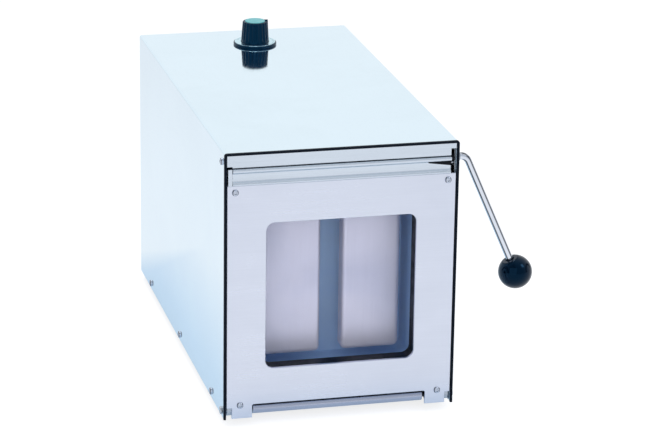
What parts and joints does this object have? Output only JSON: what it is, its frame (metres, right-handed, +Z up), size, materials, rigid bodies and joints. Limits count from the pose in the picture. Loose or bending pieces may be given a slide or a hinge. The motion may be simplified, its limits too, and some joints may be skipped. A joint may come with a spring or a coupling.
{
  "type": "paddle blender homogenizer",
  "caption": "Bench paddle blender: steel casing, drop-down window door, side lever with ball, two bag paddles on a crank drive and a timer knob on the roof.",
  "frame": {"origin": "centre of the whole footprint at the level of the feet, lever ball included", "axes": "+X to the right as seen from the front, +Y from the door towards the back, +Z up"},
  "size_m": [0.357, 0.512, 0.3447],
  "materials": {
    "casing_steel": "finely polished stainless sheet",
    "door_steel": "satin stainless plate",
    "brushed_steel": "satin stainless",
    "liner_steel": "polished stainless liner",
    "paddle_steel": "polished stainless",
    "tray_steel": "folded stainless sheet",
    "base_steel": "dark powder coat",
    "rear_steel": "plain stainless sheet",
    "edge_rubber": "black satin rubber",
    "seal_rubber": "soft black rubber",
    "foot_rubber": "black rubber",
    "belt_rubber": "black belt rubber",
    "screw_steel": "bright stainless screws",
    "pin_steel": "ground steel",
    "rod_chrome": "bright drawn rod",
    "hook_black": "blackened steel",
    "frame_black": "black moulded frame",
    "window_clear": "clear pane",
    "ball_black": "glossy moulded black",
    "knob_black": "black moulded plastic",
    "knob_inlay": "dark teal inlay",
    "dial_aluminium": "satin dial ring",
    "machined_aluminium": "machined",
    "bearing_bronze": "sintered bronze",
    "motor_paint": "dark enamel",
    "circuit_board": "green laminate",
    "black_plastic": "black moulded plastic",
    "white_plastic": "white moulded plastic",
    "timer_plastic": "grey moulded plastic",
    "rocker_plastic": "black moulded rocker"
  },
  "bodies": {
    "housing": {"casing_cover": "casing_steel", "front_edge_trim": "edge_rubber", "top_cross_member": "brushed_steel", "front_frame": "brushed_steel", "door_seal": "seal_rubber", "chamber_liner": "liner_steel", "bag_clamp_strip": "seal_rubber", "base_plate": "base_steel", "rear_panel": "rear_steel", "rubber_feet": "foot_rubber", "housing_screws": "screw_steel", "hinge_pins": "pin_steel", "shaft_bushes": "bearing_bronze", "guide_block": "machined_aluminium", "rod_bushes": "bearing_bronze", "bearing_blocks": "machined_aluminium", "mechanism_bed": "base_steel", "motor_body": "motor_paint", "motor_cradle": "machined_aluminium", "drive_belt": "belt_rubber", "control_board": "circuit_board", "power_supply": "rear_steel", "power_inlet": "black_plastic", "switch_frame": "black_plastic", "timer_body": "timer_plastic", "door_switch_body": "black_plastic"},
    "door": {"door_plate": "door_steel", "door_lip": "brushed_steel", "door_inner_frame": "frame_black", "window_pane": "window_clear", "pane_seal": "seal_rubber", "pane_retainer": "rear_steel", "door_screws": "screw_steel", "hinge_blocks": "pin_steel", "catch_studs": "pin_steel", "door_clamp_strip": "seal_rubber"},
    "lever": {"lever_rod": "rod_chrome", "latch_shaft": "pin_steel", "latch_hooks": "hook_black", "ball_knob": "ball_black"},
    "timer_knob": {"knob_cap": "knob_black", "knob_skirt": "knob_black", "knob_top_disc": "knob_inlay", "timer_shaft": "pin_steel", "knob_dial": "dial_aluminium"},
    "crank": {"crankshaft": "pin_steel", "crank_pulley": "machined_aluminium"},
    "left_roller": {"left_roller": "pin_steel"},
    "right_roller": {"right_roller": "pin_steel"},
    "motor_rotor": {"motor_pulley": "machined_aluminium"},
    "left_ram": {"left_paddle": "paddle_steel", "left_guide_rods": "rod_chrome", "left_yoke": "machined_aluminium"},
    "right_ram": {"right_paddle": "paddle_steel", "right_guide_rods": "rod_chrome", "right_yoke": "machined_aluminium"},
    "fuse_drawer": {"fuse_drawer": "black_plastic"},
    "rocker": {"rocker": "rocker_plastic"},
    "door_switch_plunger": {"door_switch_plunger": "white_plastic"},
    "drip_tray": {"drip_tray": "tray_steel"}
  },
  "joints": [
    {"name": "door_swing", "type": "hinge", "parent": "housing", "child": "door", "pos_m": [-0.04547, -0.2435, 0.018], "axis": [1, 0, 0], "range_deg": [0, 90]},
    {"name": "lever_turn", "type": "hinge", "parent": "housing", "child": "lever", "pos_m": [-0.04547, -0.2345, 0.292], "axis": [-1, 0, 0], "range_deg": [-20, 95]},
    {"name": "knob_turn", "type": "hinge", "parent": "housing", "child": "timer_knob", "pos_m": [-0.04547, 0.1855, 0.33], "axis": [0, 0, 1], "range_deg": [-150, 150]},
    {"name": "crank_turn", "type": "hinge", "parent": "housing", "child": "crank", "pos_m": [-0.04547, -0.0675, 0.154], "axis": [1, 0, 0], "range_deg": [-70, 70]},
    {"name": "left_ram_slide", "type": "slide", "parent": "housing", "child": "left_ram", "axis": [0, 1, 0], "range_m": [-0.0102, 0.0102]},
    {"name": "right_ram_slide", "type": "slide", "parent": "housing", "child": "right_ram", "axis": [0, 1, 0], "range_m": [-0.0102, 0.0102]},
    {"name": "left_roller_spin", "type": "hinge", "parent": "crank", "child": "left_roller", "pos_m": [-0.09077, -0.0675, 0.164], "axis": [1, 0, 0], "continuous": true},
    {"name": "right_roller_spin", "type": "hinge", "parent": "crank", "child": "right_roller", "pos_m": [-0.00017, -0.0675, 0.144], "axis": [1, 0, 0], "continuous": true},
    {"name": "motor_turn", "type": "hinge", "parent": "housing", "child": "motor_rotor", "pos_m": [0.06153, 0.07, 0.092], "axis": [1, 0, 0], "range_deg": [-211, 211]},
    {"name": "tray_slide", "type": "slide", "parent": "housing", "child": "drip_tray", "axis": [0, 1, 0], "range_m": [-0.07, 0]},
    {"name": "rocker_tilt", "type": "hinge", "parent": "housing", "child": "rocker", "pos_m": [0.02453, 0.25, 0.12], "axis": [1, 0, 0], "range_deg": [-20, 0]},
    {"name": "fuse_drawer_slide", "type": "slide", "parent": "housing", "child": "fuse_drawer", "axis": [0, 1, 0], "range_m": [0, 0.015]},
    {"name": "door_switch_press", "type": "slide", "parent": "housing", "child": "door_switch_plunger", "axis": [0, 1, 0], "range_m": [0, 0.002], "stiffness_N_per_m": 200}
  ],
  "couplings": [
    {"joint": "left_ram_slide", "follows": "crank_turn", "m_per_rad": -0.00826},
    {"joint": "right_ram_slide", "follows": "crank_turn", "m_per_rad": 0.00826},
    {"joint": "motor_turn", "follows": "crank_turn", "ratio": 3}
  ]
}
